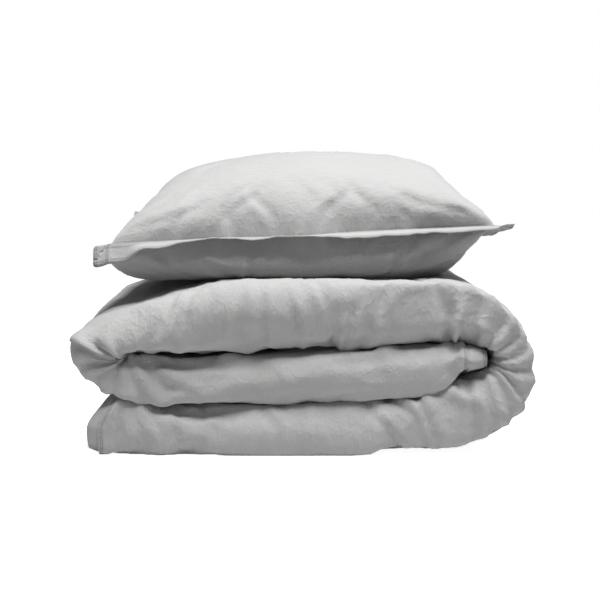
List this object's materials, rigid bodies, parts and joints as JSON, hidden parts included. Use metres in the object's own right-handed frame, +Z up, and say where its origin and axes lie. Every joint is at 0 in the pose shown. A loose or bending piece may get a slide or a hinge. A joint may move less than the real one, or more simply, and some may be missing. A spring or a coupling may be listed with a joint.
{
  "type": "folded duvet with pillow",
  "caption": "Single duvet in a washed-cotton cover, folded in half across its width and in three along its length, with a pillow in a narrow-flanged case resting on top.",
  "frame": {"origin": "middle of the surface that the duvet rests on, under the centre of the bounding box", "axes": "+Z up; -Y towards the rounded front fold; +X towards the large fold that goes round the middle layer"},
  "size_m": [0.7155, 0.7268, 0.4732],
  "materials": {
    "grey_washed_cotton": "matt, washed, slightly crinkled plain weave",
    "white_cotton_casing": "matt, dense plain weave",
    "white_fibre_filling": "matt, loose fibre",
    "pale_grey_button": "satin"
  },
  "bodies": {
    "duvet": {"cover_outer_panel": "grey_washed_cotton", "cover_inner_panel": "grey_washed_cotton", "cover_flange_lower_side": "grey_washed_cotton", "cover_flange_upper_side": "grey_washed_cotton", "cover_flange_end": "grey_washed_cotton", "closure_buttonhole_band": "grey_washed_cotton", "closure_button_band": "grey_washed_cotton", "closure_button_1": "pale_grey_button", "closure_button_2": "pale_grey_button", "closure_button_3": "pale_grey_button", "closure_button_4": "pale_grey_button", "closure_button_5": "pale_grey_button", "closure_button_6": "pale_grey_button", "insert_casing_outer": "white_cotton_casing", "insert_casing_inner": "white_cotton_casing", "fill_channel_1": "white_fibre_filling", "fill_channel_2": "white_fibre_filling", "fill_channel_3": "white_fibre_filling", "fill_channel_4": "white_fibre_filling", "fill_channel_5": "white_fibre_filling", "fill_channel_6": "white_fibre_filling", "fill_channel_7": "white_fibre_filling"},
    "pillow": {"pillowcase_top_panel": "grey_washed_cotton", "pillowcase_bottom_panel": "grey_washed_cotton", "pillowcase_flange_front": "grey_washed_cotton", "pillowcase_flange_back": "grey_washed_cotton", "pillowcase_flange_left": "grey_washed_cotton", "pillowcase_flange_right": "grey_washed_cotton", "pillowcase_tuck_flap": "grey_washed_cotton", "pillow_casing_top": "white_cotton_casing", "pillow_casing_bottom": "white_cotton_casing", "pillow_fill": "white_fibre_filling"}
  },
  "joints": [
    {"name": "pillow_lift", "type": "slide", "parent": "duvet", "child": "pillow", "axis": [0, 0, 1], "range_m": [0, 0.3]}
  ]
}
